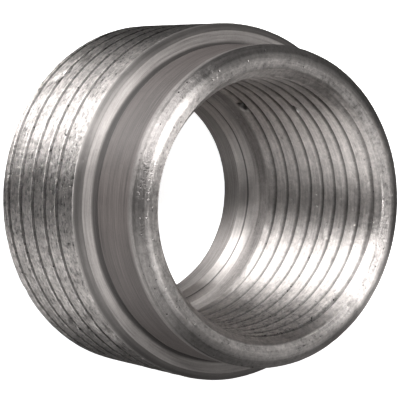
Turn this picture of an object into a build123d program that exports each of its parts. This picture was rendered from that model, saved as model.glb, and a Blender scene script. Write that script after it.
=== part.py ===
from build123d import *
import math
import os

# Reducing bushing for metal conduit, one piece of cast aluminium turned and threaded.
# Millimetres. Z is the turning axis and zero is the flat face at the foot of the outside thread.
# The collar with the wide mouth is at the top, and the front of the part looks along -Y.

# Tapered pipe threads
thread_taper = 1 / 16               # growth in diameter for each unit of height
flank_angle = 60.0                  # between the two flanks of a groove

# Outside thread, right-hand
outside_diameter = 33.4             # over the crests at the shoulder
outside_pitch = 25.4 / 11.5
outside_groove_depth = 0.58
outside_length = 14.9               # from the end face to the shoulder
outside_full_height = 12.53         # the full groove stops at this height
outside_full_angle = -20.0          # and at this turn from +X
runout_turns = 0.4                  # over which the groove rises out of the metal
runout_overlap_turns = 0.05         # the run-out starts this far inside the full groove
cutter_clearance = 0.2              # how far the thread cutter stands off the crests
cutter_overrun_turns = 0.8          # how far the cutter starts below the end face
lead_chamfer_height = 1.6
lead_chamfer_width = 1.4

# Shoulder and collar
shoulder_edge_chamfer = 0.4
shoulder_width = 1.9                # from the crests at the shoulder in to the collar
collar_length = 7.5                 # from the shoulder to the rim
root_groove_width = 0.6
root_groove_depth = 0.2
plain_band_height = 4.3             # turned a little smaller than the rim band
plain_band_depth = 0.07
rim_edge_chamfer = 0.7

# Mouth and tapered wall of the inside thread
rim_width = 1.75                    # from the collar's side in to the mouth
countersink_width = 1.33            # from the mouth in to the inside thread's crests
countersink_depth = 0.6

# Bore below the tapered wall, from the wall down
upper_step_height = 4.2             # where the tapered wall ends and the upper step begins
upper_step_width = 0.58             # from the tapered wall in to the foot of the upper step
step_groove_height = 3.43           # middle of the fine groove between the two steps
step_groove_width = 0.26
step_groove_depth = 0.12
throat_step_width = 0.52            # from the upper step in to the throat
throat_height = 2.64
throat_edge_chamfer = 0.2

# Heights and radii that follow from the sizes above
total_height = outside_length + collar_length
crest_slope = thread_taper / 2
shoulder_radius = outside_diameter / 2
shoulder_edge_foot = outside_length - shoulder_edge_chamfer
lead_radius = shoulder_radius - (outside_length - lead_chamfer_height) * crest_slope
collar_radius = shoulder_radius - shoulder_width
plain_band_radius = collar_radius - plain_band_depth
plain_band_bottom = outside_length + root_groove_width
plain_band_top = outside_length + plain_band_height
root_groove_radius = plain_band_radius - root_groove_depth
mouth_radius = collar_radius - rim_width
wall_top = total_height - countersink_depth
wall_top_radius = mouth_radius - countersink_width
wall_foot_radius = wall_top_radius - (wall_top - upper_step_height) * crest_slope
upper_step_radius = wall_foot_radius - upper_step_width
step_groove_top = step_groove_height + step_groove_width / 2
step_groove_bottom = step_groove_height - step_groove_width / 2
throat_radius = upper_step_radius - throat_step_width


def blank_section():
    """One side of the turned blank, from the throat outwards: radius and height."""
    return [
        (throat_radius, throat_edge_chamfer),
        (throat_radius + throat_edge_chamfer, 0),
        (lead_radius - lead_chamfer_width, 0),
        (lead_radius, lead_chamfer_height),
        (shoulder_radius - shoulder_edge_chamfer * crest_slope, shoulder_edge_foot),
        (shoulder_radius - shoulder_edge_chamfer, outside_length),
        (root_groove_radius, outside_length),
        (root_groove_radius, plain_band_bottom),
        (plain_band_radius, plain_band_bottom),
        (plain_band_radius, plain_band_top),
        (collar_radius, plain_band_top),
        (collar_radius, total_height - rim_edge_chamfer),
        (collar_radius - rim_edge_chamfer, total_height),
        (mouth_radius, total_height),
        (wall_top_radius, wall_top),
        (wall_foot_radius, upper_step_height),
        (upper_step_radius, step_groove_top),
        (upper_step_radius + step_groove_depth, step_groove_height),
        (upper_step_radius, step_groove_bottom),
        (throat_radius, throat_height),
    ]


def turned_blank():
    """The half section turned once about Z, before the outside thread is cut."""
    with BuildPart() as blank:
        with BuildSketch(Plane.XZ):
            with BuildLine():
                Polyline(*blank_section(), close=True)
            make_face()
        revolve(axis=Axis.Z)
    return blank.part


def crest_radius(height):
    """Radius over the outside thread's crests at a height."""
    return shoulder_radius - (outside_length - height) * crest_slope


def groove_face(height):
    """The thread cutter's V section on the XZ plane, its root at full depth at this height."""
    mouth = crest_radius(height) + cutter_clearance
    root = crest_radius(height) - outside_groove_depth
    half_width = (mouth - root) * math.tan(math.radians(flank_angle / 2))
    corners = [(mouth, height - half_width), (mouth, height + half_width), (root, height)]
    with BuildSketch(Plane.XZ) as section:
        with BuildLine():
            Polyline(*corners, close=True)
        make_face()
    return section.sketch


def thread_cutter(height, turns, slope, start_angle):
    """The V section swept up a right-hand helix from a height and an angle from +X.

    slope is the growth in radius for each unit of height.
    """
    lean = math.atan(slope)
    path = Helix(
        pitch=outside_pitch / math.cos(lean),
        height=turns * outside_pitch,
        radius=crest_radius(height),
        center=(0, 0, height),
        cone_angle=math.degrees(lean),
    )
    cutter = sweep(groove_face(height), path=path, is_frenet=True)
    return cutter.rotate(Axis.Z, start_angle)


def full_groove_cutter():
    """Cuts at full depth, from below the end face up to where the full groove stops."""
    turns = outside_full_height / outside_pitch + cutter_overrun_turns
    start_height = outside_full_height - turns * outside_pitch
    return thread_cutter(start_height, turns, crest_slope, outside_full_angle - 360 * turns)


def runout_cutter():
    """Starts inside the full groove at full depth and rises until its root is off the crests."""
    start_height = outside_full_height - runout_overlap_turns * outside_pitch
    start_angle = outside_full_angle - 360 * runout_overlap_turns
    rise = (outside_groove_depth + cutter_clearance) / (runout_turns * outside_pitch)
    return thread_cutter(start_height, runout_turns, crest_slope + rise, start_angle)


bushing_body = turned_blank() - full_groove_cutter() - runout_cutter()
bushing_body.label = "bushing_body"

os.makedirs("parts", exist_ok=True)
export_step(bushing_body, "parts/bushing_body.step")
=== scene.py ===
import bpy
import numpy as np
from mathutils import Matrix, Vector


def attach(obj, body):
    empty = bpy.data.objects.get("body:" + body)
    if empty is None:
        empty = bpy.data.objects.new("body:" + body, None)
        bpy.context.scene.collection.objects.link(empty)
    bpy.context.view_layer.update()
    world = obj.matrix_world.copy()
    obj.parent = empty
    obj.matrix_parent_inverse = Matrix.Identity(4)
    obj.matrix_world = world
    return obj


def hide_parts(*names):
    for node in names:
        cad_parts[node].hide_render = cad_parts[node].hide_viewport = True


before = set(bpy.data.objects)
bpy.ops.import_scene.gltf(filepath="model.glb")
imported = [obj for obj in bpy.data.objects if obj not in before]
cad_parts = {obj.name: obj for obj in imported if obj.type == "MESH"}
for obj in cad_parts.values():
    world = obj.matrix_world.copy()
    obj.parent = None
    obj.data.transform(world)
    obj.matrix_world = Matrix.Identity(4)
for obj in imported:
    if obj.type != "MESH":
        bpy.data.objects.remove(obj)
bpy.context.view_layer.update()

mm = 0.001

# A threaded reducing bushing of bare aluminium. Its solid has the outside thread and a plain
# tapered wall inside. Here one closed surface carries both threads, the wear and the finish.
columns = 280
taperSlope = 1 / 32
flankSlope = np.sqrt(3)
waveReach = 2.2
phi = np.linspace(0, 2 * np.pi, columns + 1)[None]


# Smooth seeded unevenness between about -1 and 1: a sum of cosines, each with a whole number
# of waves round the axis and any number along the section, over the reach of their sum.
def waves(along, seed, count, turns, density):
    rng = np.random.default_rng(seed)
    k = rng.integers(turns[0], turns[1] + 1, count)[:, None, None]
    m = rng.uniform(density[0], density[1], count)[:, None, None]
    start = rng.uniform(0, 2 * np.pi, count)[:, None, None]
    total = np.cos(k * phi[None] + m * along[None] + start).sum(0)
    return total / np.sqrt(count / 2) / waveReach


# Radius over a thread's crests: the radius at its mouth less the taper's slope for each
# millimetre below it.
def crestRadius(thread, height):
    return thread["crestRadius"] - (thread["mouthHeight"] - height) * taperSlope


# Height of one groove's middle at each angle: it rises one pitch in each turn.
def grooveMiddle(thread):
    turns = (phi - np.radians(thread["fullAngle"])) / (2 * np.pi)
    return thread["fullHeight"] + turns * thread["pitch"]


# Depth of the groove nearest to each height: the depth at its middle less the distance from
# the flat root over the tangent of 30 degrees. Over the last turns the middle fades out.
def grooveDepth(thread, height):
    place = (height - grooveMiddle(thread)) / thread["pitch"]
    number = np.round(place)
    offset = np.abs(place - number) * thread["pitch"]
    turns = number + (phi - np.radians(thread["fullAngle"])) / (2 * np.pi)
    left = np.clip(1 + thread["sense"] * turns / thread["fadeTurns"], 0, 1)
    slope = np.clip(offset - thread["rootFlat"] / 2, 0, None) * flankSlope
    return np.clip(thread["depth"] * left - slope, 0, None)


grooveRows = dict(edge=0.05, root=0.08)


# Heights of rows that follow the helix: each offset from each groove's middle, held between
# the lowest and the highest height. With the level rows they are put in order.
def threadRows(thread, low, high):
    flat = thread["rootFlat"] / 2
    edge = flat + thread["depth"] / flankSlope
    half = [flat, flat + grooveRows["root"], edge - grooveRows["edge"], edge, edge + grooveRows["edge"]]
    offsets = [-offset for offset in half] + half + thread["landRows"]
    middles = np.array(thread["grooves"]) * thread["pitch"]
    steps = (middles[:, None] + np.array(offsets)[None]).ravel()
    helical = np.clip(grooveMiddle(thread) + steps[:, None], low, high)
    level = np.repeat(np.array(thread["levelRows"])[:, None], columns + 1, 1)
    return np.sort(np.concatenate([helical, level]), 0)


# A section's corners rounded: each becomes two points a width away along its sides, and one
# between them that is a quarter of each and half of the corner.
def softCorners(points, width):
    p = np.array(points, float)
    before, corner, after = p[:-2], p[1:-1], p[2:]
    unitBack = (before - corner) / np.linalg.norm(before - corner, axis=1)[:, None]
    unitOn = (after - corner) / np.linalg.norm(after - corner, axis=1)[:, None]
    entry = corner + unitBack * width
    leave = corner + unitOn * width
    between = entry / 4 + corner / 2 + leave / 4
    middle = np.stack([entry, between, leave], 1).reshape(-1, 2)
    return np.concatenate([p[:1], middle, p[-1:]])


# Points on a quarter of a circle: the centre plus the radius times cosine and sine.
def quarter(centre, radius, count):
    a = np.linspace(0, np.pi / 2, count)
    return np.stack([centre[0] + radius * np.cos(a), centre[1] + radius * np.sin(a)], 1)


# A section's points carried round the axis: the same radius and height in each column.
def turned(points):
    p = np.array(points, float)
    return np.repeat(p[:, :1], columns + 1, 1), np.repeat(p[:, 1:], columns + 1, 1)


# Which part of the section a row belongs to, in order.
zones = dict(outside=0, edge=1, side=2, chamfer=3, land=4, inside=5, throat=6)

outsideThread = dict(
    pitch=25.4 / 11.5, depth=0.52, rootFlat=0.05, mouthHeight=14.9, crestRadius=16.7,
    fullHeight=11.89, fullAngle=-20.0, fadeTurns=0.5, sense=-1,
    leadHeight=1.6, leadWidth=1.4, edgeRadius=0.7, edgeSteps=6,
    grooves=range(-7, 2), landRows=[-1.02, -0.84, -0.66, -0.48, 0.48, 0.66, 0.84],
    levelRows=[0.3, 0.8, 1.3, 1.6, 14.2],
    landDepth=0.12, sunk=0.022, chamferShare=0.3,
    wear=0.011, wearWaves=(3, 40, (3, 40), (0.2, 4)),
    galls=0.010, gallWaves=(4, 60, (30, 130), (2, 14)),
    dents=0.25, dentLevel=0.8, dentWaves=(5, 60, (8, 50), (0.5, 4)),
)


# The outside thread from the end face up to the shoulder's edge: crest radius less groove
# depth and wear, and never outside the lead chamfer's cone. Wear counts on the lands only.
def outsideRows():
    t = outsideThread
    top = t["mouthHeight"] - t["edgeRadius"]
    height = threadRows(t, 0, top)
    depth = grooveDepth(t, height)
    chamfer = crestRadius(t, t["leadHeight"]) - t["leadWidth"] * (1 - height / t["leadHeight"])
    land = 1 - np.clip(depth / t["landDepth"], 0, 1)
    wear = t["wear"] * waves(height, *t["wearWaves"])
    galls = t["galls"] * waves(height, *t["gallWaves"])
    dents = t["dents"] * np.clip(waves(height, *t["dentWaves"]) - t["dentLevel"], 0, None)
    rough = land * (wear + galls - t["sunk"] - dents)
    radius = np.minimum(crestRadius(t, height) - depth + rough, chamfer + t["chamferShare"] * rough)
    return radius, height, depth / t["depth"]


# The shoulder's face and the land inside the rim are slightly dished: points of radius and
# drop. The side swells a little upwards: points of height and swell.
collar = dict(
    top=22.4, radius=14.8, plainRadius=14.73, plainBottom=15.5, rootRadius=14.53, rootRise=0.05,
    faceDish=[(15.9, 0.01), (15.2, 0.015)], sideSwell=[(16.7, 0), (17.9, 0.01), (19.2, 0.03)],
    sideTop=20.4, sideCorner=0.05, chamferFoot=21.72, chamferLead=0.3, chamferCorner=0.09,
    chamferMiddle=(14.25, 22.045), landRadius=13.66, landInner=13.5,
    landDish=[(13.42, 0.015), (13.26, 0.06), (13.1, 0.115), (12.95, 0.165), (12.8, 0.215)],
    mouthRadius=12.6, dishDepth=0.27,
)


# The shoulder, the collar's side and the rim as four lists of section points.
def collarPoints():
    c = collar
    shoulder = outsideThread["mouthHeight"]
    edge = outsideThread["edgeRadius"]
    edgeMiddle = (outsideThread["crestRadius"] - edge, shoulder - edge)
    edgeArc = quarter(edgeMiddle, edge, outsideThread["edgeSteps"])[1:]
    chamfer = softCorners([
        (c["radius"], c["chamferFoot"] - c["chamferLead"]), (c["radius"], c["chamferFoot"]),
        c["chamferMiddle"], (c["landRadius"], c["top"]), (c["landInner"], c["top"])],
        c["chamferCorner"])
    side = [edgeArc[-1]] + [(r, shoulder - drop) for r, drop in c["faceDish"]]
    side += [(c["rootRadius"], shoulder), (c["rootRadius"], c["plainBottom"] - c["rootRise"])]
    side += [(c["plainRadius"], c["plainBottom"])]
    side += [(c["plainRadius"] + swell, level) for level, swell in c["sideSwell"]]
    side += [(c["radius"], c["sideTop"]), chamfer[0]]
    land = [(r, c["top"] - drop) for r, drop in c["landDish"]]
    return [edgeArc, softCorners(side, c["sideCorner"])[1:-1], chamfer, land]


insideThread = dict(
    pitch=25.4 / 14, depth=0.46, rootFlat=0.08, mouthHeight=21.09, crestRadius=11.90,
    fullHeight=6.88, fullAngle=102.0, fadeTurns=0.9, sense=1, coneLead=0.1, coneSteps=7,
    grooves=range(-2, 10), landRows=[-0.90, -0.72, -0.54, 0.54, 0.72],
    levelRows=[4.6, 5.0, 20.9],
    landDepth=0.12, grooveWear=0.4,
    wear=0.012, wearWaves=(13, 40, (2, 40), (0.5, 8)),
    galls=0.006, gallWaves=(14, 60, (30, 120), (2, 20)),
)

# Casting pits in the inside wall: angle, height, half width and depth of each.
pits = dict(large=(137.6, 6.5, 0.40, 1.3), small=(137.2, 14.74, 0.21, 0.40),
            third=(61.0, 17.3, 0.14, 0.16), fourth=(118.0, 9.6, 0.13, 0.15))
# The pits' depth times this darkens them: painted shade and grime in the pits.
pitShadeAndGrime = 4.0


# Angle of each column from a direction in degrees, between minus and plus half a turn.
def angleFrom(direction):
    return np.mod(phi - np.radians(direction) + np.pi, 2 * np.pi) - np.pi


# Each pit's depth falls off as the exponential of minus the fourth power of the distance
# over its half width.
def pitShape(radius, height):
    total = np.zeros_like(height)
    for direction, level, half, deep in pits.values():
        distance = np.hypot(angleFrom(direction) * radius, height - level) / half
        total = total + deep * np.exp(-distance ** 4)
    return total


# Torn edge where the inside thread starts, between two directions in degrees.
burrs = dict(height=21.15, half=0.12, tall=0.34, first=146.0, last=196.0, reach=1.2,
             level=0.15, tornWaves=(31, 40, (30, 130), (0, 0.1)))


# Short ridges that lean into the bore: their height times the stretch they lie on, the waves
# above a level, and the exponential of minus the squared distance over the half width.
def burrShape(height):
    b = burrs
    middle = (b["first"] + b["last"]) / 2
    away = np.abs(np.degrees(phi) - middle) / (b["last"] - b["first"]) * 2
    span = np.clip(b["reach"] - away, 0, 1)
    torn = np.clip(waves(height * 0, *b["tornWaves"]) - b["level"], 0, 1)
    return b["tall"] * span * torn * np.exp(-((height - b["height"]) / b["half"]) ** 2)


# The inside thread from the mouth's cone down to the throat's steps: crest radius plus groove
# depth and wear, and never inside the cone.
def insideRows():
    t = insideThread
    height = threadRows(t, throat["wallFoot"], t["mouthHeight"])
    mouth = collar["top"] - collar["dishDepth"]
    coneLevels = np.linspace(t["mouthHeight"] + t["coneLead"], mouth, t["coneSteps"])
    cone = np.repeat(coneLevels[:, None], columns + 1, 1)
    height = np.concatenate([height, cone])[::-1]
    depth = grooveDepth(t, height)
    outward = (collar["mouthRadius"] - t["crestRadius"]) / (mouth - t["mouthHeight"])
    countersink = t["crestRadius"] + (height - t["mouthHeight"]) * outward
    land = 1 - np.clip(depth / t["landDepth"], 0, 1)
    wear = t["wear"] * waves(height, *t["wearWaves"])
    wear = wear + t["galls"] * waves(height, *t["gallWaves"])
    worn = wear * (t["grooveWear"] + (1 - t["grooveWear"]) * land)
    crest = crestRadius(t, height)
    radius = np.maximum(crest + depth + worn, countersink)
    pit = pitShape(radius, height)
    groove = np.clip(crest + depth - np.maximum(crest, countersink), 0, None)
    # The third value, groove share plus pits, is darkened later as painted shade and grime.
    return radius + pit - burrShape(height), height, groove / t["depth"] + pit * pitShadeAndGrime


throat = dict(wallFoot=4.35, ledgeRadius=11.05, ledgeHeight=4.1, stepRadius=10.59,
              grooveHeight=3.43, grooveDepth=0.12, grooveHalf=0.13,
              radius=10.07, top=2.64, boreLevels=[1.6, 0.8], chamfer=0.2, faceMiddle=12.5, corner=0.04)


# The throat's two steps, its bore and the flat end face, back to the outside thread's foot.
def throatPoints():
    t = throat
    foot = crestRadius(outsideThread, outsideThread["leadHeight"]) - outsideThread["leadWidth"]
    points = [
        (crestRadius(insideThread, t["wallFoot"]), t["wallFoot"]),
        (t["ledgeRadius"], t["ledgeHeight"]),
        (t["stepRadius"], t["grooveHeight"] + t["grooveHalf"]),
        (t["stepRadius"] + t["grooveDepth"], t["grooveHeight"]),
        (t["stepRadius"], t["grooveHeight"] - t["grooveHalf"]), (t["radius"], t["top"])]
    points += [(t["radius"], level) for level in t["boreLevels"]]
    points += [(t["radius"], t["chamfer"]), (t["radius"] + t["chamfer"], 0)]
    points += [(t["faceMiddle"], 0), (foot, 0)]
    return softCorners(points, t["corner"])[1:]


# A rubbed and speckled patch of the inside wall, at the bottom of the picture.
rubbedPatch = dict(direction=6.0, spread=34.0, foot=7.0, rise=5.0, top=21.3)


# Share of rubbing: the exponential of minus the squared angle from the patch over its spread,
# growing with the height above its foot.
def rubbedShare(height):
    p = rubbedPatch
    around = np.exp(-(angleFrom(p["direction"]) / np.radians(p["spread"])) ** 2)
    return around * np.clip((height - p["foot"]) / p["rise"], 0, 1) * (height < p["top"])


# How strongly painted shade and grime darken grooves, edges and corners.
shadeAndGrimeMarks = dict(outsideGroove=3.2, insideGroove=1.5, insideShare=0.8, pitLevel=1.0, rubbed=0.12,
                  edge=0.5, edgeDrop=0.2, edgeReach=0.5, edgeFull=1.15,
                  chamfer=0.06, chamferOuter=0.34, chamferSplit=14.1,
                  rootInset=0.06, rootReach=0.1, face=0.45, faceRadius=16.1,
                  stepReach=0.12, stepFull=1.3, ledge=0.1, ledgeHeight=4.05)


# Painted shade and grime at each vertex, darkening the grooves, the shoulder's edge and face, the
# collar's root, the rim's chamfer and the throat's step groove and ledge: the groove's share of full
# depth times a factor, held at one, and in corners a full value less the distance over a reach.
# It passes one only in pits.
def shadeAndGrimeOn(zone, radius, height, deep, rubbed):
    g = shadeAndGrimeMarks
    outside = zone == zones["outside"]
    groove = np.clip(deep * np.where(outside, g["outsideGroove"], g["insideGroove"]), 0, 1)
    groove = groove * np.where(outside, 1.0, g["insideShare"])
    fromEdge = np.abs(height - outsideThread["mouthHeight"] + g["edgeDrop"]) / g["edgeReach"]
    edge = (zone == zones["edge"]) * np.clip(g["edgeFull"] - fromEdge, 0, 1) * g["edge"]
    outer = radius > g["chamferSplit"]
    chamfer = (zone == zones["chamfer"]) * (g["chamfer"] + g["chamferOuter"] * outer)
    inset = (collar["plainRadius"] - g["rootInset"] - radius) / g["rootReach"]
    side = (zone == zones["side"]) * (np.clip(inset, 0, 1) + (radius > g["faceRadius"]) * g["face"])
    fromStep = np.abs(height - throat["grooveHeight"]) / g["stepReach"]
    bore = np.clip(g["stepFull"] - fromStep, 0, 1) + (height > g["ledgeHeight"]) * g["ledge"]
    bore = (zone == zones["throat"]) * bore
    pitted = rubbed * g["rubbed"] + np.clip(deep - g["pitLevel"], 0, 1)
    return np.clip(groove + edge + chamfer + side + bore + (zone == zones["inside"]) * pitted, 0, 2)


castMarks = dict(side=1.0, face=0.45, faceRadius=14.9, land=0.25, chamfer=0.12, edge=0.3, throat=0.45,
                 relief=0.6, reliefFoot=4.05, reliefRise=0.1, reliefTop=5.9, reliefFall=0.5)


# How dull and cast each vertex is: one value a zone, and a relief band below the inside thread
# between two heights.
def castOn(zone, radius, height):
    c = castMarks
    side = np.where(radius < c["faceRadius"], c["side"], c["face"])
    bore = (zone == zones["throat"]) * (height < throat["top"]) * c["throat"]
    cast = bore + (zone == zones["side"]) * side + (zone == zones["edge"]) * c["edge"]
    cast = cast + (zone == zones["chamfer"]) * c["chamfer"] + (zone == zones["land"]) * c["land"]
    relief = np.clip((height - c["reliefFoot"]) / c["reliefRise"], 0, 1)
    relief = relief * np.clip((c["reliefTop"] - height) / c["reliefFall"], 0, 1)
    return np.clip(cast + (zone >= zones["inside"]) * relief * c["relief"], 0, 1)


galledMarks = dict(outside=1.0, chamfer=0.45, land=0.75, inside=0.4, insideFrom=20.0, insideRise=5.0,
                   insideLimits=(0.35, 0.5), rubbed=0.75)


# How galled each vertex is: one value a zone, rising towards the mouth and in the rubbed patch.
def galledOn(zone, height, rubbed):
    g = galledMarks
    wall = g["inside"] + (height - g["insideFrom"]) / g["insideRise"]
    wall = np.clip(wall, *g["insideLimits"]) + rubbed * g["rubbed"]
    galled = (zone == zones["outside"]) * g["outside"] + (zone == zones["chamfer"]) * g["chamfer"]
    return galled + (zone == zones["land"]) * g["land"] + (zone == zones["inside"]) * wall


# Added to the length at the mouth and at the wall's foot, to tell one surface from the next.
lengthGaps = dict(mouth=1.0, foot=0.4)


# Length along the section for the tool marks: the height on both threads, so that it runs
# level round the axis, and the first column's summed steps elsewhere.
def lengthAlong(radius, height, counts):
    shoulder = outsideThread["mouthHeight"]
    firstInside = sum(counts[:zones["inside"]])
    insideEnd = firstInside + counts[zones["inside"]]
    steps = np.hypot(np.diff(radius[:, 0]), np.diff(height[:, 0]))
    along = np.concatenate([[0], np.cumsum(steps)])[:, None] + 0 * radius
    along[:counts[0]] = height[:counts[0]]
    along[counts[0]:firstInside] += shoulder - along[counts[0], 0]
    rim = along[firstInside - 1, 0] + lengthGaps["mouth"] + collar["top"]
    along[firstInside:insideEnd] = rim - height[firstInside:insideEnd]
    along[insideEnd:] += rim - throat["wallFoot"] + lengthGaps["foot"] - along[insideEnd, 0]
    return along


# All rows of the closed section in order, with what the material needs at each vertex.
def sectionRows():
    edgeArc, side, chamfer, land = collarPoints()
    parts = [outsideRows(), turned(edgeArc), turned(side), turned(chamfer), turned(land),
             insideRows(), turned(throatPoints())]
    radius = np.concatenate([p[0] for p in parts])
    height = np.concatenate([p[1] for p in parts])
    counts = [len(p[0]) for p in parts]
    deep = np.concatenate([p[2] if len(p) == 3 else np.zeros_like(p[0]) for p in parts])
    zone = np.repeat(np.arange(len(parts)), counts)[:, None] + 0 * radius
    rubbed = rubbedShare(height)
    # One of the looks darkens grooves, edges and corners: painted shade, with some grime.
    looks = {"along": lengthAlong(radius, height, counts),
             "shadeAndGrime": shadeAndGrimeOn(zone, radius, height, deep, rubbed),
             "cast": castOn(zone, radius, height), "galled": galledOn(zone, height, rubbed),
             "inside": (zone >= zones["inside"]) * 1.0}
    return radius, height, zone, looks


unevenness = dict(slow=0.015, slowWaves=(21, 30, (2, 24), (0.2, 2.0)),
                  chatter=0.006, chatterWaves=(22, 40, (20, 110), (1, 12)), sunk=0.012,
                  dents=0.25, dentLevel=0.6, dentWaves=(23, 50, (6, 60), (0.3, 2.5)),
                  rimDrop=0.25, rimReach=0.5, footHeight=0.05)


# The plain surfaces leave true round by a few hundredths: slow waves and finer chatter round
# the axis, less shallow dents near the rim's edge.
def unevenCollar(radius, height, zone, along):
    u = unevenness
    slow = u["slow"] * waves(along, *u["slowWaves"]) + u["chatter"] * waves(along, *u["chatterWaves"])
    plain = (zone > zones["outside"]) & (zone != zones["inside"]) & (height > u["footHeight"])
    dents = np.clip(waves(along, *u["dentWaves"]) - u["dentLevel"], 0, None) * u["dents"]
    onRim = np.clip(1 - np.abs(height - collar["top"] + u["rimDrop"]) / u["rimReach"], 0, 1)
    onRim = onRim * ((zone == zones["chamfer"]) | (zone == zones["land"]))
    return radius + np.where(plain, slow - u["sunk"], 0) - dents * onRim


weldDigits = 5


# A closed mesh of the grid: vertices at radius times cosine and sine of the angle, those in
# one place made one, each cell two triangles, and those without area left out.
def buildMesh(name, radius, height, looks):
    x = radius * np.cos(phi)
    y = radius * np.sin(phi)
    places = np.stack([x, y, height], -1).reshape(-1, 3)
    _, first, same = np.unique(np.round(places, weldDigits), axis=0, return_index=True,
                               return_inverse=True)
    index = same.reshape(-1)[: places.shape[0]].reshape(radius.shape[0], columns + 1)
    above = np.roll(index, -1, 0)
    a, b, c, d = index[:, :-1], index[:, 1:], above[:, 1:], above[:, :-1]
    lower = np.stack([a, b, c], -1).reshape(-1, 3)
    upper = np.stack([a, c, d], -1).reshape(-1, 3)
    tris = np.concatenate([lower, upper])
    whole = (tris[:, 0] != tris[:, 1]) & (tris[:, 1] != tris[:, 2]) & (tris[:, 2] != tris[:, 0])
    tris = tris[whole]
    mesh = bpy.data.meshes.new(name)
    mesh.vertices.add(len(first))
    mesh.vertices.foreach_set("co", (places[first] * mm).ravel())
    mesh.loops.add(len(tris) * 3)
    mesh.loops.foreach_set("vertex_index", tris.ravel())
    mesh.polygons.add(len(tris))
    mesh.polygons.foreach_set("loop_start", np.arange(0, len(tris) * 3, 3))
    mesh.polygons.foreach_set("loop_total", np.full(len(tris), 3))
    mesh.update(calc_edges=True)
    for label, values in looks.items():
        layer = mesh.attributes.new(label, "FLOAT", "POINT")
        layer.data.foreach_set("value", values.reshape(-1)[first].astype(np.float32))
    mesh.validate()
    mesh.shade_smooth()
    return mesh


# Wraps a socket, so that sums, differences and products of sockets read as maths.
class Maths:
    def __init__(self, tree, socket):
        self.tree = tree
        self.socket = socket

    def operation(self, kind, first, second, clamp=False):
        node = self.tree.nodes.new("ShaderNodeMath")
        node.operation = kind
        node.use_clamp = clamp
        for place, value in zip(node.inputs, (first, second)):
            if isinstance(value, Maths):
                self.tree.links.new(value.socket, place)
            else:
                place.default_value = value
        return Maths(self.tree, node.outputs[0])

    def __add__(self, other):
        return self.operation("ADD", self, other)

    def __radd__(self, other):
        return self.operation("ADD", other, self)

    def __sub__(self, other):
        return self.operation("SUBTRACT", self, other)

    def __rsub__(self, other):
        return self.operation("SUBTRACT", other, self)

    def __mul__(self, other):
        return self.operation("MULTIPLY", self, other)

    def __rmul__(self, other):
        return self.operation("MULTIPLY", other, self)

    def held(self):
        return self.operation("ADD", self, 0.0, clamp=True)


# Adds nodes to one material.
class Shader:
    def __init__(self, name):
        self.material = bpy.data.materials.new(name)
        self.material.use_nodes = True
        self.tree = self.material.node_tree
        self.surface = self.tree.nodes["Principled BSDF"]

    # Any node: its type, its settings first, then the values or links of its sockets.
    def node(self, kind, settings=None, values=None, output=0):
        made = self.tree.nodes.new(kind)
        for key, value in (settings or {}).items():
            setattr(made, key, value)
        for key, value in (values or {}).items():
            self.fill(made.inputs[key], value)
        if output == "all":
            return [Maths(self.tree, socket) for socket in made.outputs]
        return Maths(self.tree, made.outputs[output])

    def fill(self, place, value):
        if isinstance(value, Maths):
            self.tree.links.new(value.socket, place)
        else:
            place.default_value = value

    def put(self, name, value):
        self.fill(self.surface.inputs[name], value)

    def attribute(self, name):
        return self.node("ShaderNodeAttribute", {"attribute_name": name}, output="Fac")

    def vector(self, x, y, z):
        return self.node("ShaderNodeCombineXYZ", values={"X": x, "Y": y, "Z": z})

    def noise(self, vector, scale, detail, roughness):
        return self.node("ShaderNodeTexNoise", {"normalize": True},
                         {"Vector": vector, "Scale": scale, "Detail": detail, "Roughness": roughness})

    def cells(self, vector, scale):
        return self.node("ShaderNodeTexVoronoi", {"feature": "F1"}, {"Vector": vector, "Scale": scale})

    def blend(self, share, first, second):
        values = {0: share, 6: first, 7: second}
        return self.node("ShaderNodeMix", {"data_type": "RGBA"}, values, output=2)

    def ramp(self, value, low, high):
        return self.node("ShaderNodeMapRange", {"interpolation_type": "SMOOTHSTEP"},
                         {"Value": value, "From Min": low, "From Max": high})


# Noises: scale, detail and roughness, on millimetres stretched across and along the section.
# A pair of weights is the texture's own and what a share such as galled or cast adds to it.
aluminiumLook = dict(
    dark=(0.03, 0.028, 0.027, 1), light=(0.94, 0.885, 0.855, 1), castTone=(0.115, 0.097, 0.092, 1),
    noises=dict(marks=(1.0, 4.0, 0.6), fineRings=(1.0, 2.0, 0.6), mottle=(0.55, 4.0, 0.6),
                speckle=(2.6, 4.0, 0.7), grain=(7.0, 2.0, 0.6), smears=(1.7, 5.0, 0.72)),
    stretches=dict(marks=(0.12, 4.0), fineRings=(0.3, 14.0), smears=1.6), pitCells=1.5,
    ramps=dict(smears=(0.50, 0.66), pits=(0.05, 0.16), shadeAndGrime=(0.0, 0.6), deepShadeAndGrime=(1.05, 1.5)),
    tone=dict(middle=0.64, mottle=(0.25, 0.5), marks=(0.45, 0.7), fineRings=(0.25, 0.5),
              speckle=(0.15, 1.2), grain=0.2, smears=0.38, shadeAndGrime=(0.82, -0.2), pits=0.45),
    rough=dict(middle=0.40, mottle=0.1, marks=0.12, cast=0.3, shadeAndGrime=0.08, inside=0.14),
    lift=dict(marks=0.35, fineRings=0.25, speckle=(0.05, 0.6), grain=0.04, pits=(0.1, 0.5),
              strength=1.0, depth=0.00010),
    castCover=0.95, castDull=0.9, anisotropy=0.98, anisotropyTurn=0.25,
)


# A weight that grows with a share: the first number plus the second times the share.
def grown(weights, share):
    return share * weights[1] + weights[0]
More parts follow.
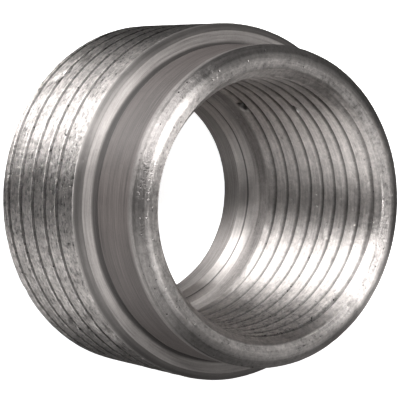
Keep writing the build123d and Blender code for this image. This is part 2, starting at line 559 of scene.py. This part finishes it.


# Turned aluminium: rings of tool marks, pits and smears on galled crests, painted shade and grime
# in the grooves, edges and corners, and a duller cast band. It is far rougher across the rings than
# along them. Noises count from their middle, a half.
def bareAluminium():
    look = aluminiumLook
    noises, stretches, ramps = look["noises"], look["stretches"], look["ramps"]
    s = Shader("bareAluminium")
    place = s.node("ShaderNodeTexCoord", output="Object")
    axes = s.node("ShaderNodeSeparateXYZ", values={0: place}, output="all")
    x, y, z = [axis * (1 / mm) for axis in axes]
    along = s.attribute("along")
    shadeAndGrime = s.attribute("shadeAndGrime")
    cast = s.attribute("cast")
    galled = s.attribute("galled")
    inside = s.attribute("inside")

    # Rings run level round the axis, the rest fills space
    def rings(name):
        across, on = stretches[name]
        return s.noise(s.vector(x * across, y * across, along * on), *noises[name])

    solid = s.vector(x, y, z)
    marks = rings("marks")
    fineRings = rings("fineRings")
    mottle = s.noise(solid, *noises["mottle"])
    speckle = s.noise(solid, *noises["speckle"])
    grain = s.noise(solid, *noises["grain"])
    flat = s.vector(x, y, z * stretches["smears"])
    smears = s.ramp(s.noise(flat, *noises["smears"]), *ramps["smears"])
    pits = 1.0 - s.ramp(s.cells(solid, look["pitCells"]), *ramps["pits"])

    # How light the metal is, darkened by painted shade and grime and by pits
    w = look["tone"]
    tone = w["middle"] + (mottle - 0.5) * grown(w["mottle"], galled)
    tone = tone + (marks - 0.5) * grown(w["marks"], cast)
    tone = tone + (fineRings - 0.5) * grown(w["fineRings"], cast)
    tone = tone + (speckle - 0.5) * grown(w["speckle"], galled) + (grain - 0.5) * w["grain"]
    tone = tone - smears * galled * galled * w["smears"]
    tone = tone * (1.0 - s.ramp(shadeAndGrime, *ramps["shadeAndGrime"]) * grown(w["shadeAndGrime"], inside))
    tone = tone * (1.0 - s.ramp(shadeAndGrime, *ramps["deepShadeAndGrime"])) - pits * galled * w["pits"]
    metal = s.blend(tone.held(), look["dark"], look["light"])
    casting = s.blend(tone.held(), look["dark"], look["castTone"])
    s.put("Base Color", s.blend((cast * look["castCover"]).held(), metal, casting))
    s.put("Metallic", (1.0 - cast * look["castDull"]).held())

    w = look["rough"]
    rough = w["middle"] + (mottle - 0.5) * w["mottle"] + (marks - 0.5) * w["marks"]
    rough = rough + cast * w["cast"] + shadeAndGrime * w["shadeAndGrime"] + inside * w["inside"]
    s.put("Roughness", rough.held())
    s.put("Anisotropic", look["anisotropy"])
    s.put("Anisotropic Rotation", look["anisotropyTurn"])

    w = look["lift"]
    lift = marks * w["marks"] + fineRings * w["fineRings"] + grain * w["grain"]
    lift = lift + speckle * grown(w["speckle"], galled) - pits * grown(w["pits"], galled)
    bump = {"Height": lift, "Strength": w["strength"], "Distance": w["depth"]}
    s.put("Normal", s.node("ShaderNodeBump", values=bump))
    return s.material


print("stage: shape")
radius, height, zone, looks = sectionRows()
radius = unevenCollar(radius, height, zone, looks["along"])
height = np.clip(height, 0, collar["top"])
bushingMesh = buildMesh("bushing", radius, height, looks)
bushing = bpy.data.objects.new("bushing", bushingMesh)
bpy.context.scene.collection.objects.link(bushing)

print("stage: material,", len(bushingMesh.polygons), "triangles")
bushingMesh.materials.append(bareAluminium())
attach(bushing, "root")
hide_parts("bushing_body")


floorLook = dict(half=0.8, drop=0.00002, grey=0.9, roughness=0.8, glow=0.85)


# A plain pale floor under the end face: a square that glows by itself and lights nothing.
def paleFloor():
    half = floorLook["half"]
    drop = floorLook["drop"]
    grey = floorLook["grey"]
    corners = [(-half, -half, -drop), (half, -half, -drop), (half, half, -drop), (-half, half, -drop)]
    mesh = bpy.data.meshes.new("floor")
    mesh.from_pydata(corners, [], [(0, 1, 2, 3)])
    s = Shader("paleFloor")
    s.put("Base Color", (grey, grey, grey, 1))
    s.put("Roughness", floorLook["roughness"])
    s.put("Emission Color", (1, 1, 1, 1))
    s.put("Emission Strength", floorLook["glow"])
    mesh.materials.append(s.material)
    piece = bpy.data.objects.new("floor", mesh)
    piece.visible_glossy = False
    piece.visible_diffuse = False
    bpy.context.scene.collection.objects.link(piece)


# Each light: the angle round the axis, counted from the right as the camera sees it, how far
# it leans from the axis, its distance, width and height in metres, and its power in watts.
studioLights = dict(
    lowLeftStrip=(143, 80, 0.40, 0.07, 0.14, 0.85),
    highLeftStrip=(103, 76, 0.40, 0.12, 0.14, 0.07),
    upperBox=(124, 42, 0.45, 0.26, 0.12, 3.2),
    lowerStrip=(224, 70, 0.42, 0.40, 0.22, 1.0),
    deepFill=(220, 37, 0.50, 0.20, 0.10, 0.42),
    rightFill=(-38, 56, 0.50, 0.20, 0.20, 0.2),
)
lightAim = (0, 0, 0.015)
pictureRight = 90


# A rectangular light that faces the middle of the part: its place is the middle plus the
# distance times the sines and cosines of the two angles.
def softbox(name, theta, lean, distance, width, tall, power):
    a = np.radians(theta + pictureRight)
    b = np.radians(lean)
    towards = Vector((np.sin(b) * np.cos(a), np.sin(b) * np.sin(a), np.cos(b)))
    light = bpy.data.lights.new(name, "AREA")
    light.shape = "RECTANGLE"
    light.size = width
    light.size_y = tall
    light.energy = power
    lamp = bpy.data.objects.new(name, light)
    across = Vector((0, 0, 1)).cross(towards).normalized()
    turn = Matrix((across, towards.cross(across), towards)).transposed()
    lamp.matrix_world = Matrix.Translation(Vector(lightAim) + towards * distance) @ turn.to_4x4()
    bpy.context.scene.collection.objects.link(lamp)


# What the camera sees: the rim's middle in millimetres, and the turning axis in radians.
cameraView = dict(rimMiddle=(6.787, -0.652, -272.89), yaw=0.6066, pitch=-0.0578,
                  lens=270, sensor=36, nearest=0.01)


# The photograph's camera: its place is the rim's middle less the turned line of sight, and
# the part's own Y runs to the right in the picture as far as the axis lets it.
def photoCamera():
    yaw, pitch = cameraView["yaw"], cameraView["pitch"]
    axis = np.array([np.sin(yaw) * np.cos(pitch), np.sin(pitch), np.cos(yaw) * np.cos(pitch)])
    alongY = np.array([1.0, 0, 0]) - axis[0] * axis
    alongY /= np.linalg.norm(alongY)
    turn = np.stack([np.cross(alongY, axis), alongY, axis], 1)
    pose = np.eye(4)
    pose[:3, :3] = turn.T
    pose[:3, 3] = (np.array([0, 0, collar["top"]]) - turn.T @ np.array(cameraView["rimMiddle"])) * mm
    data = bpy.data.cameras.new("photoCamera")
    data.sensor_width = cameraView["sensor"]
    data.lens = cameraView["lens"]
    data.clip_start = cameraView["nearest"]
    camera = bpy.data.objects.new("photoCamera", data)
    camera.matrix_world = Matrix(pose.tolist())
    bpy.context.scene.collection.objects.link(camera)
    bpy.context.scene.camera = camera


worldGrey = 0.06

print("stage: floor, lights and camera")
paleFloor()
for name, settings in studioLights.items():
    softbox(name, *settings)
photoCamera()
world = bpy.data.worlds.new("studio")
world.use_nodes = True
background = world.node_tree.nodes["Background"]
background.inputs["Color"].default_value = (worldGrey, worldGrey, worldGrey, 1)
bpy.context.scene.world = world
bpy.context.scene.view_settings.view_transform = "Standard"
